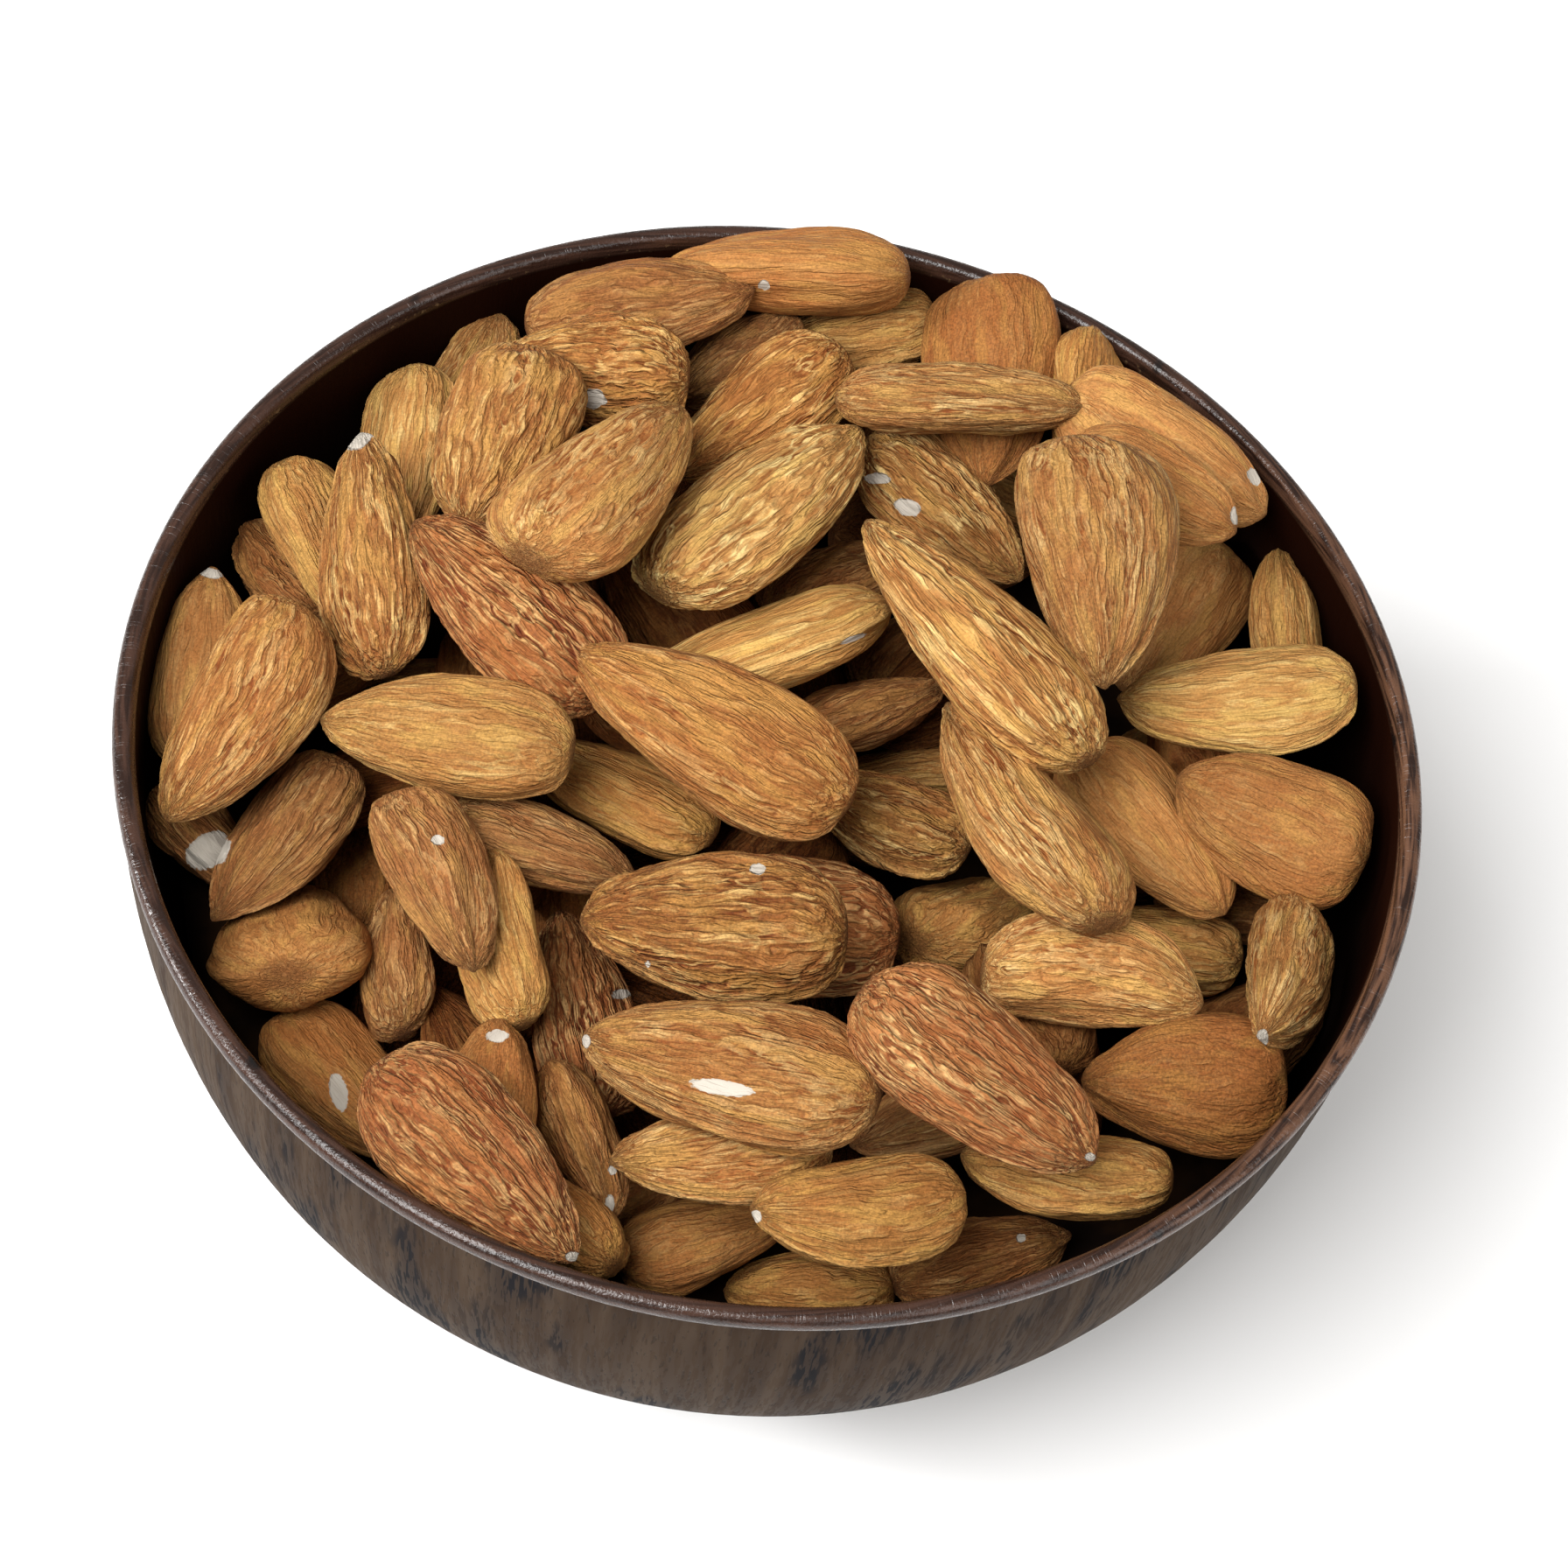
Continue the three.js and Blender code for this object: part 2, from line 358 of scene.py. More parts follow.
# %% Moulds
def model_mould(form):
    """The smooth shape of one family, one unit long (X), wide (Y) and thick (Z)."""
    bpy.ops.object.select_all(action="DESELECT")
    rings = len(STATIONS) + 1
    bpy.ops.mesh.primitive_uv_sphere_add(
        segments=CAGE_SIDES, ring_count=rings, radius=0.5, rotation=(0, math.radians(90), 0)
    )
    mould = bpy.context.object
    mould.name = f"mould_{form}"
    bpy.ops.object.transform_apply(location=False, rotation=True, scale=False)
    skin = mould.data.attributes.new("skin", "FLOAT_VECTOR", "POINT")
    for vertex in mould.data.vertices:
        x, y, z = vertex.co
        round_the_axis = math.hypot(y, z)
        along = 2 * math.acos(max(-1, min(1, -2 * x))) / math.pi - 1
        if round_the_axis < 1e-4:
            skin.data[vertex.index].vector = (0, 0, along)
        else:
            shrink = math.sqrt(1 - abs(along) ** (3 if along < 0 else 4)) / round_the_axis
            skin.data[vertex.index].vector = (y * shrink, z * shrink, along)
    bpy.ops.object.mode_set(mode="EDIT")
    bpy.ops.mesh.select_mode(type="VERT")
    for ring, (station, girth) in reversed(list(enumerate(zip(STATIONS, GIRTHS[form])))):
        turn = math.pi * (ring + 1) / rings
        old_x, old_radius = -0.5 * math.cos(turn), 0.5 * math.sin(turn)
        pick(mould, lambda place: abs(place.x - old_x) < 1e-3)
        sideways = BOWS.get(form, 0) * (1 - (2 * station - 1) ** 2)
        grown = 0.5 * girth / old_radius
        bpy.ops.transform.resize(value=(1, grown, grown), center_override=(old_x, 0, 0))
        bpy.ops.transform.translate(value=(2 + station - 0.5 - old_x, sideways, 0))
    pick(mould, lambda place: place.x > 1)
    bpy.ops.transform.translate(value=(-2, 0, 0))
    bpy.ops.object.mode_set(mode="OBJECT")
    return mould


def smoothed(mould, levels):
    """A subdivided copy of a cage, brought back to one unit each way."""
    only(mould)
    bpy.ops.object.duplicate()
    smooth = bpy.context.object
    if levels:
        finish_with(smooth, "SUBSURF", levels=levels, render_levels=levels)
    low = [min(vertex.co[i] for vertex in smooth.data.vertices) for i in range(3)]
    high = [max(vertex.co[i] for vertex in smooth.data.vertices) for i in range(3)]
    size = [h - l for l, h in zip(low, high)]
    middle = [(h + l) / 2 for l, h in zip(low, high)]
    smooth.data.transform(Matrix.Translation([-m for m in middle]))
    smooth.data.transform(Matrix.Diagonal((1 / size[0], 1 / size[1], 1 / size[2], 1)))
    bpy.ops.object.shade_smooth()
    return smooth


cages = {form: model_mould(form) for form in GIRTHS}
moulds = {form: smoothed(cage, 2) for form, cage in cages.items()}
plain_moulds = {form: smoothed(cage, 1) for form, cage in cages.items()}
proxies = {form: smoothed(cage, 0) for form, cage in cages.items()}
for form, mould in moulds.items():
    print("mould", form, triangles(mould), "triangles")

# %% [markdown]
# ## Where each almond lies
#
# The almonds that the photograph shows are put in one by one, from the bottom of the
# heap to its top. Each is listed as it would be noted on a print: the pixel of its tip,
# the pixel of its round end, how wide it looks in pixels, and its family and finish. The
# real length and width follow from the distance to the camera. An almond mostly lies
# level; a few stand up or down by some degrees, their lift.
#
# Its place along the line of sight isn't guessed: the almond slides down that line
# until it touches the almonds below, the core or the wall, or lies as deep as its layer
# does. So it is seen where the photograph has it, and covers what the real one covers.
# The filling, which comes later, is pushed up under it from below.

# %% Table of almonds
class Almond:
    """One almond of the photograph, noted in pixels. Lift is in degrees, and tint is
    darker below 0 and lighter above: partly the almond's own colour, partly painted shade
    where it lies low or in the dark."""

    def __init__(self, tip, butt, width, form, finish, lift=0, tint_and_shade=0):
        self.tip, self.butt, self.width = tip, butt, width
        self.form, self.finish, self.lift, self.tint_and_shade = form, finish, lift, tint_and_shade


bottom_almonds = [
    ((285, 600), (372, 705), 110, "drop", "brown"),
    ((1230, 560), (1250, 376), 90, "drop", "golden"),
    ((880, 400), (1075, 365), 95, "drop", "golden"),
    ((1220, 600), (1125, 535), 95, "plump", "golden", 0, -0.5),
    ((960, 890), (1125, 885), 80, "drop", "golden", 0, -0.3),
    ((1180, 1010), (1030, 1085), 120, "plump", "golden", -30, -0.2),
    ((800, 1330), (690, 1400), 90, "plump", "brown"),
    ((820, 1475), (1030, 1475), 110, "drop", "golden"),
    ((280, 1010), (205, 930), 90, "plump", "brown"),
    ((385, 790), (580, 790), 85, "slender", "brown"),
    ((745, 770), (690, 640), 110, "drop", "brown", 0, -0.4),
    ((1090, 700), (1000, 790), 110, "drop", "brown", 0, -0.4),
    ((1360, 830), (1250, 930), 110, "drop", "golden", 0, -0.5),
    ((1480, 1040), (1340, 1020), 110, "drop", "brown", 0, -0.7),
    ((400, 930), (400, 1090), 110, "drop", "smooth", 0, -0.7),
    ((640, 960), (640, 1140), 110, "drop", "smooth", 0, -0.7),
]
lower_almonds = [
    ((573, 352), (510, 560), 120, "drop", "fine", 10),
    ((450, 650), (478, 412), 110, "drop", "golden"),
    ((430, 740), (325, 522), 110, "drop", "golden"),
    ((243, 641), (222, 885), 125, "drop", "smooth"),
    ((1125, 560), (1135, 316), 160, "broad", "smooth", 0, -0.65),
    ((1462, 620), (1475, 840), 85, "slender", "golden"),
    ((1080, 780), (890, 850), 85, "slender", "brown"),
    ((590, 850), (822, 960), 110, "drop", "golden"),
    ((470, 1330), (318, 1150), 125, "broad", "smooth", 0, -0.1),
    ((345, 1008), (325, 1140), 185, "plump", "smooth", -33, -0.1),
    ((447, 1015), (458, 1187), 95, "slender", "brown"),
    ((640, 1030), (690, 1280), 130, "drop", "red", 0, -0.25),
    ((699, 1388), (630, 1225), 78, "slender", "brown"),
    ((905, 1385), (700, 1450), 110, "drop", "smooth", 0, -0.2),
    ((1230, 1405), (1010, 1470), 100, "slender", "brown"),
    ((1240, 1060), (1417, 1095), 100, "drop", "golden"),
    ((745, 1040), (1035, 1072), 165, "broad", "red"),
    ((915, 900), (1113, 973), 118, "drop", "ridged"),
    ((965, 1312), (1190, 1232), 105, "drop", "brown", 0, 0.25),
    ((560, 1330), (690, 1440), 95, "drop", "golden", 0, -0.5),
    ((1010, 640), (900, 700), 110, "drop", "brown"),
    ((780, 455), (900, 372), 80, "slender", "brown", 0, -0.4),
    ((568, 1176), (545, 1330), 120, "plump", "smooth", 12, -0.65),
]
middle_almonds = [
    ((1278, 795), (1398, 618), 150, "broad", "smooth"),
    ((1170, 665), (985, 500), 122, "drop", "ridged"),
    ((748, 308), (1041, 317), 98, "drop", "smooth"),
    ((863, 330), (600, 375), 115, "drop", "brown"),
    ((560, 420), (788, 432), 130, "broad", "ridged"),
    ((532, 606), (612, 398), 160, "broad", "ridged", 8, -0.2),
    ((1447, 588), (1215, 450), 135, "drop", "smooth"),
    ((1416, 597), (1215, 520), 110, "lopsided", "smooth"),
    ((1241, 463), (955, 452), 76, "slender", "fine"),
    ((770, 545), (968, 398), 125, "drop", "ridged"),
    ((730, 1008), (505, 930), 100, "drop", "brown"),
    ((548, 975), (590, 1183), 105, "bean", "golden"),
    ((408, 492), (440, 775), 125, "lance", "ridged", 0, -0.35),
    ((203, 946), (350, 690), 150, "lopsided", "fine", 0, -0.2),
    ((246, 1060), (398, 864), 122, "wedge", "brown", 0, 0.1),
    ((551, 1112), (462, 903), 120, "wedge", "brown", 10, 0.12),
    ((720, 800), (1020, 690), 102, "slender", "golden", 0, 0.8),
    ((472, 594), (700, 800), 165, "drop", "red", 0, -0.05),
    ((780, 460), (603, 640), 152, "plump", "fine"),
    ((1403, 1048), (1225, 850), 130, "drop", "smooth", 0, 0.15),
]
upper_almonds = [
    ((1247, 1235), (1458, 1240), 172, "plump", "smooth", 10, -0.6),
    ((1440, 1206), (1496, 1040), 116, "wedge", "fine", 15, 0.05),
    ((1346, 890), (1560, 985), 160, "broad", "smooth", 0, -0.4),
    ((1275, 810), (1555, 795), 124, "lopsided", "golden", 0, 0.35),
    ((1095, 1330), (1345, 1358), 104, "bean", "golden", 0, -0.1),
    ((1380, 1128), (1122, 1090), 140, "bean", "fine", 0, 0.35),
    ((695, 1336), (955, 1306), 128, "wedge", "fine"),
    ((858, 1393), (1109, 1378), 118, "lopsided", "golden", 0, -0.25),
    ((664, 1184), (1005, 1258), 170, "drop", "fine", 0, -0.25),
    ((662, 1050), (970, 1068), 172, "broad", "ridged", 0, -0.5),
    ((1250, 1328), (985, 1130), 168, "broad", "red", 0, 0.2),
    ((662, 1438), (428, 1212), 166, "lance", "red", 0, -0.35),
    ((364, 822), (657, 860), 148, "drop", "golden", 0, -0.28),
    ((655, 745), (972, 920), 165, "drop", "fine", 0, -0.33),
    ((986, 485), (752, 680), 168, "drop", "ridged", 0, 0.85),
    ((1275, 782), (1238, 500), 178, "wedge", "fine", 0, -0.45),
    ((1072, 797), (1254, 1056), 132, "wedge", "fine", 0, 0.05),
    ((990, 594), (1243, 868), 155, "drop", "ridged", 12, 0.2),
]
# How far below the heap's top the middles of each layer lie.
LAYERS = (
    (bottom_almonds, 23 * MM),
    (lower_almonds, 15 * MM),
    (middle_almonds, 8.5 * MM),
    (upper_almonds, 3 * MM),
)
print("almonds read from the photograph:", sum(len(layer) for layer, _ in LAYERS))

# %% [markdown]
# ## The filling
#
# Under the almonds that can be seen, the bowl is full of more. They can't be told
# apart in the dark between the upper ones, so the lowest part is one core, painted near
# black as painted shade, and a layer of plainer almonds lies on it. The core is a disc,
# extruded and resized ring by ring: up along the wall, then in over a shallow dish, which
# is lower in the middle because more almonds are stacked there.

# %% Core of the heap
CORE_GAP = 0.8 * MM
CORE_SIDES = 64
CORE_DISH = ((52.5, 38), (50, 39), (44, 36), (36, 31.5), (27, 28), (18, 26), (9, 25), (3, 25))
core_dish = [(radius * MM, height * MM) for radius, height in CORE_DISH]
hollow = (HOLLOW_RADIUS, HOLLOW_DEPTH, HOLLOW_ROUNDNESS)
core_wall = wall(math.radians(86), math.radians(10), *hollow)
core_wall = [(radius - CORE_GAP, height + CORE_GAP) for radius, height in core_wall]
core_wall = [point for point in core_wall if point[1] < core_dish[0][1] - 1.5 * MM]
core_profile = core_wall + core_dish

core = turn_solid("heap_core", CORE_SIDES, core_profile)
bpy.ops.object.shade_smooth()
print("core:", triangles(core), "triangles")

# %% [markdown]
# ## How an almond comes to rest
#
# To know where an almond touches, its coarse cage is tested against everything that
# is already there. Blender's BVH tree answers quickly whether two meshes cross. An
# almond is moved along its path in small steps, down to the depth of its layer. If it
# meets something first, the last step without a crossing, made finer by halving, is
# where it rests.

# %% Settling
PATH_STEP = 1.5 * MM
# Almonds press against each other, so what is tested is this much smaller.
PRESS = 0.10
MOUTH_RADIUS = 54.5 * MM
HEAP_CREST, HEAP_EDGE_DROP = 4.5 * MM, 7 * MM
RESTING_PLACES = []


def heap_top(distance):
    """Height of the heap at a distance from the axis, as in the CAD source."""
    fall = (HEAP_CREST + HEAP_EDGE_DROP) * (distance / HOLLOW_RADIUS) ** 2.6
    return RIM_HEIGHT + HEAP_CREST - fall


def places_and_faces(piece):
    """The vertices of a mesh, and which of them each face has."""
    places = [vertex.co.copy() for vertex in piece.data.vertices]
    return places, [tuple(face.vertices) for face in piece.data.polygons]


bowl_tree = BVHTree.FromPolygons(*places_and_faces(bowl))
core_tree = BVHTree.FromPolygons(*places_and_faces(core))
coarse = {form: places_and_faces(cage) for form, cage in proxies.items()}


class Kernel:
    """An almond with its real size and its directions: tip, side and face."""

    def __init__(self, form, size, tip_way, face_way):
        self.form, self.size = form, size
        self.axes = Matrix((tip_way, face_way.cross(tip_way), face_way)).transposed()
        self.solid = self.axes @ Matrix.Diagonal(size * (1 - PRESS))

    def matrix(self, centre):
        return Matrix.Translation(centre) @ self.axes.to_4x4()

    def tree(self, centre):
        places, faces = coarse[self.form]
        return BVHTree.FromPolygons([self.solid @ place + centre for place in places], faces)


def meets_wall(kernel, centre):
    return bool(kernel.tree(centre).overlap(bowl_tree))


def meets_filling(kernel, centre):
    """True if the kernel crosses the core or an almond that is already laid."""
    tree = kernel.tree(centre)
    if tree.overlap(core_tree):
        return True
    reach = kernel.size[0] / 2
    for other_tree, other_centre, other_reach in RESTING_PLACES:
        if (other_centre - centre).length < reach + other_reach and tree.overlap(other_tree):
            return True
    return False


def slide(kernel, start, way, length, depth):
    """Slides the kernel from start along a direction until it touches, or is deep enough.
    Returns where it rests, and how far along that is; None if it never fits. At the
    front the line of sight first passes through the lip, and goes on inside it."""
    last = None
    for step in range(int(length / PATH_STEP)):
        centre = start + way * (step * PATH_STEP)
        distance = centre.to_2d().length
        if distance > MOUTH_RADIUS:
            continue
        if meets_filling(kernel, centre):
            break
        if not meets_wall(kernel, centre):
            last = centre
            if centre.z < heap_top(distance) - depth:
                return last, (last - start).length
    if last is None:
        return None
    free, blocked = last, last + way * PATH_STEP
    for _ in range(4):
        halfway = (free + blocked) / 2
        if meets_filling(kernel, halfway) or meets_wall(kernel, halfway):
            blocked = halfway
        else:
            free = halfway
    return free, (free - start).length


def lay(kernel, centre, finish, tint_and_shade=0.0):
    """Keeps the kernel where it is: from now on it carries others."""
    RESTING_PLACES.append((kernel.tree(centre), centre, kernel.size[0] / 2))
    laid.append((kernel, centre, finish, tint_and_shade))


laid = []

# %% [markdown]
# For an almond of the photograph, the two end pixels give a plane through the camera,
# and the long axis lies in that plane. Its lift picks the one direction in the plane.
# The length then makes its ends fall on the two pixels. The width in pixels tells how
# far it is rolled about its long axis: a full almond shows its whole width face on,
# and only its thickness from the edge. Of the two rolls that look alike, the one that
# faces the way the heap faces there is taken. Where a further roll is asked for, the
# full width changes with it, so that the width in the photograph stays the same.

# %% Reading an almond
# Width as a share of the length.
FULLNESS = {
    "drop": 0.54, "slender": 0.47, "plump": 0.64, "bean": 0.52,
    "broad": 0.58, "lance": 0.52, "wedge": 0.56, "lopsided": 0.53,
}
# Thickness as a share of the width, and the least length.
FLATNESS = 0.62
SHORTEST = 1.5
NARROWEST, WIDEST = 10 * MM, 15.2 * MM
END_ROUNDNESS = 4 * MM
# How steeply the heap faces outwards at its edge.
HEAP_SLOPE = 0.35


def kernel_from(almond, more_lift=0, more_roll=0):
    """Real size and directions of an almond, from its pixels."""
    middle = ((almond.tip[0] + almond.butt[0]) / 2, (almond.tip[1] + almond.butt[1]) / 2)
    line = sight(middle)
    depth = (CAMERA_PLACE.z - RIM_HEIGHT) / -line.z
    seen = (sight(almond.tip) - sight(almond.butt)) * depth
    view = line.normalized()
    across = (seen - view * seen.dot(view)).normalized()
    plane = view.cross(across)
    level = plane.cross(Vector((0, 0, 1))).normalized()
    level *= 1 if level.dot(across) > 0 else -1
    rising = plane.cross(level).normalized()
    rising *= 1 if rising.z > 0 else -1
    lift = math.sin(math.radians(almond.lift + more_lift))
    slope = math.asin(max(-1, min(1, lift / rising.z)))
    tip_way = (level * math.cos(slope) + rising * math.sin(slope)).normalized()
    facing = tip_way.dot(across)
    width = almond.width * depth / FOCAL_PIXELS
    half = seen.dot(across) / 2
    end_on = tip_way.dot(view)
    length = 2 * math.sqrt(half ** 2 - (END_ROUNDNESS * end_on) ** 2) / facing
    full = max(width, min(FULLNESS[almond.form] * length, WIDEST), NARROWEST)
    thick = min(FLATNESS * full, width * 0.98)
    share = (width ** 2 - thick ** 2) / max(full ** 2 - thick ** 2, 1e-9)
    rolled = math.acos(math.sqrt(max(0, min(1, share))))
    out = CAMERA_PLACE + line * depth
    heap_way = Vector(
        (out.x * HEAP_SLOPE / HOLLOW_RADIUS, out.y * HEAP_SLOPE / HOLLOW_RADIUS, 1)
    ).normalized()
    face = (-view - tip_way * tip_way.dot(-view)).normalized()
    rolls = {turn: Matrix.Rotation(turn, 3, tip_way) @ face for turn in (rolled, -rolled)}
    angle = max(rolls, key=lambda turn: rolls[turn].dot(heap_way))
    angle += math.radians(more_roll)
    full = width / math.hypot(math.cos(angle), FLATNESS * math.sin(angle))
    full = max(NARROWEST, min(WIDEST, full))
    size = Vector((max(length, SHORTEST * full), full, FLATNESS * full))
    return Kernel(almond.form, size, tip_way, Matrix.Rotation(angle, 3, tip_way) @ face)


# %% [markdown]
# A level almond on top of others would touch only the highest of them. A real one
# tips until it lies in a hollow. So a few slightly different lifts and rolls are
# tried for each, all of which look the same in the photograph, and the one that slides
# furthest down is kept. If there is no room at all, because the wall is too close,
# the middle is nudged by some pixels towards the middle of the bowl.

# %% Laying the almonds of the photograph
START_HEIGHT = 80 * MM
LONGEST_SLIDE = 90 * MM
PIXEL_NUDGE = 5
MOST_NUDGES = 16
TIPPINGS = [(lift, roll) for lift in (0, -9, 9) for roll in (0, -14, 14)]


def best_rest(almond, middle, depth):
    """The deepest place along the line of sight among a few tippings."""
    line = sight(middle).normalized()
    start = CAMERA_PLACE + line * ((START_HEIGHT - CAMERA_PLACE.z) / line.z)
    found = []
    for more_lift, more_roll in TIPPINGS:
        kernel = kernel_from(almond, more_lift, more_roll)
        place = slide(kernel, start, line, LONGEST_SLIDE, depth)
        if place is not None:
            found.append((round(place[1], 4), kernel, place[0]))
    return max(found, key=lambda row: row[0], default=None)


rows = [(Almond(*row), depth) for layer, depth in LAYERS for row in layer]
for number, (almond, depth) in enumerate(rows):
    middle = Vector(((almond.tip[0] + almond.butt[0]) / 2, (almond.tip[1] + almond.butt[1]) / 2))
    inward = (Vector(RIM_CENTRE_PIXEL) - middle).normalized()
    for nudges in range(MOST_NUDGES):
        rest = best_rest(almond, middle + inward * nudges * PIXEL_NUDGE, depth)
        if rest is not None:
            break
    if rest is None:
        print("no room for almond", number)
        continue
    travelled, kernel, centre = rest
    lay(kernel, centre, almond.finish, almond.tint_and_shade)
    print(number, almond.form, almond.finish, "size mm", [round(x / MM, 1) for x in kernel.size],
          "centre mm", [round(x / MM, 1) for x in centre], "nudges", nudges)

# %% [markdown]
# Below and between those, the bowl is full. Plainer almonds are pushed in wherever
# there is still room: at a random place and in a random pose, each rises from the core
# until it crosses nothing. They carry the ones above, and they are what the dark gaps
# show; the deeper one lies, the darker it is painted, a painted shade. The random
# generator has a fixed seed, so the heap is the same in every run; it later gives every
# almond its own pattern too.

# %% Filling up
FILL_TRIES = 420
FILL_RADIUS = 50 * MM
FILL_BOTTOM = 28 * MM
FILL_STEP, FILL_STEPS = 2 * MM, 30
# How far below the heap's top the filling ends, and over what depth its painted shade
# deepens.
FILL_DEPTH, FILL_SHADE_DEPTH = 13 * MM, 12 * MM
FILLER_SIZE = Vector((22, 12.5, 8)) * MM
FILLER_TILT = 0.6
chance = random.Random(11)


def random_kernel():
    size = FILLER_SIZE * chance.uniform(0.85, 1.05)
    turns = [chance.uniform(-most, most) for most in (FILLER_TILT, FILLER_TILT)]
    axes = Euler((*turns, chance.uniform(0, math.tau)), "ZYX").to_matrix()
    form = chance.choice(["drop", "plump", "broad", "slender"])
    return Kernel(form, size, axes.col[0], axes.col[2])


def push_in(kernel, x, y):
    """The lowest place over a point of the floor where the kernel crosses nothing."""
    highest = heap_top(math.hypot(x, y)) - FILL_DEPTH
    for step in range(FILL_STEPS):
        centre = Vector((x, y, FILL_BOTTOM + step * FILL_STEP))
        if centre.z > highest:
            return None
        if not meets_wall(kernel, centre) and not meets_filling(kernel, centre):
            return centre


noted = len(laid)
for _ in range(FILL_TRIES):
    distance = FILL_RADIUS * math.sqrt(chance.random())
    angle = chance.uniform(0, math.tau)
    kernel = random_kernel()
    centre = push_in(kernel, distance * math.cos(angle), distance * math.sin(angle))
    if centre is not None:
        # The deeper an almond of the filling lies, the darker its tint: a painted shade.
        deep = (heap_top(distance) - FILL_DEPTH - centre.z) / FILL_SHADE_DEPTH
        lay(kernel, centre, "below", -0.2 - 1.3 * min(1, deep))
print("pushed in:", len(laid) - noted, "almonds")

# %% [markdown]
# ## Nodes, in short
#
# Both the relief and the colours are node trees. A small class keeps them readable: it
# holds a tree and adds nodes to it, for arithmetic, noises, blends of two colours, and
# values mapped smoothly between limits. Every input is a socket, which is linked, or a
# plain value, which is set.

# %% Node helpers
class Nodes:
    """Short ways to add nodes to one tree."""

    def __init__(self, tree):
        self.tree = tree

    def put(self, value, socket):
        """Links a socket, or sets a plain value."""
        if isinstance(value, bpy.types.NodeSocket):
            self.tree.links.new(value, socket)
        else:
            socket.default_value = value

    def add(self, kind, inputs=None, **settings):
        """Adds a node, sets its properties, then its inputs."""
        made = self.tree.nodes.new(kind)
        for name, value in settings.items():
            setattr(made, name, value)
        for name, value in (inputs or {}).items():
            self.put(value, made.inputs[name])
        return made

    def blend(self, factor, first, second, blend="MIX"):
        """Mixes two colours by a factor."""
        made = self.add("ShaderNodeMix", data_type="RGBA", blend_type=blend)
        self.put(factor, made.inputs[0])
        for index, colour in ((6, first), (7, second)):
            self.put((*colour, 1) if isinstance(colour, tuple) else colour, made.inputs[index])
        return made.outputs[2]

    def between(self, value, low, high, to_low=0.0, to_high=1.0):
        """Maps a value between two limits smoothly to two others."""
        limits = {"From Min": low, "From Max": high, "To Min": to_low, "To Max": to_high}
        made = self.add(
            "ShaderNodeMapRange", {"Value": value, **limits}, interpolation_type="SMOOTHSTEP"
        )
        return made.outputs["Result"]

    def math(self, operation, *values):
        """Arithmetic on numbers."""
        return self.add("ShaderNodeMath", dict(enumerate(values)), operation=operation).outputs[0]

    def times(self, first, second):
        return self.math("MULTIPLY", first, second)

    def times_plus(self, first, second, third):
        return self.math("MULTIPLY_ADD", first, second, third)

    def vector(self, operation, *values, output=0):
        """Arithmetic on vectors."""
        made = self.add("ShaderNodeVectorMath", dict(enumerate(values)), operation=operation)
        return made.outputs[output]

    def scaled(self, vector, factor):
        inputs = {0: vector, "Scale": factor}
        return self.add("ShaderNodeVectorMath", inputs, operation="SCALE").outputs[0]

    def stretched(self, vector, factors, shift):
        return self.vector("MULTIPLY_ADD", vector, factors, shift)

    def parts(self, vector):
        """The X, Y and Z of a vector."""
        return self.add("ShaderNodeSeparateXYZ", {0: vector}).outputs

    def noise(self, vector, scale, detail=2.0, roughness=0.5, distortion=0.0, output=0):
        inputs = {"Vector": vector, "Scale": scale, "Detail": detail, "Roughness": roughness}
        made = self.add("ShaderNodeTexNoise", {**inputs, "Distortion": distortion})
        return made.outputs[output]


# %% [markdown]
# ## The skin
#
# The skin is wrinkled lengthwise: rounded ridges, lighter on top with dust and, in part, a
# painted highlight, with thin red-brown grooves between them, darker also as painted shade,
# which wander and branch. The same small node tree
# makes them twice, once as real relief in a geometry-nodes modifier, which is applied,
# and once as colour and fine bump in the material, so that the colour lies exactly in
# the grooves. It stretches a noise along the almond, using the skin attribute, and a
# groove lies wherever the noise crosses its middle value. A second noise makes the
# grooves wavy, and every almond shifts both by its own seed. One edge of an almond
# has a seam, a low keel from end to end, and a very broad noise makes each one lumpy.
# The almonds fall into seven finishes, from nearly smooth to deeply ridged.

# %% Ridge nodes
FINISHES = {
    # cells round, cells along, depth of the grooves, how clearly they are coloured
    "smooth": (7.2, 2.1, 0.10 * MM, 0.50),
    "fine": (7.6, 2.7, 0.20 * MM, 1.0),
    "ridged": (5.8, 2.5, 0.32 * MM, 1.0),
    "red": (5.2, 2.2, 0.40 * MM, 1.0),
    "golden": (6.4, 2.0, 0.15 * MM, 0.60),
    "brown": (6.6, 2.3, 0.19 * MM, 0.70),
    "below": (5.0, 2.0, 0.18 * MM, 0.80),
}
SEAM_RISE = 0.25 * MM
LUMPS = 2.2 * MM


def off_groove(nodes, skin, seed, cells_round, cells_along):
    """How far the skin is from the nearest groove: 0 in it, about 0.3 on a crest."""
    waves = nodes.noise(nodes.stretched(skin, (1.6, 1.6, 3.6), seed), 1, 2, 0.6, output="Color")
    wavy = nodes.stretched(waves, (0.24, 0.24, 0.1), skin)
    cells = nodes.stretched(wavy, (cells_round, cells_round, cells_along), seed)
    noise = nodes.noise(cells, 1, 2, 0.45, distortion=0.4)
    return nodes.math("ABSOLUTE", nodes.math("SUBTRACT", noise, 0.5))


def seam(nodes, skin):
    """1 on the keel along one edge of the almond, 0 away from it."""
    parts = nodes.parts(skin)
    near_edge = nodes.between(nodes.math("ABSOLUTE", parts["Y"]), 0.16, 0.0)
    return nodes.times(near_edge, nodes.between(parts["X"], 0.4, 0.8))


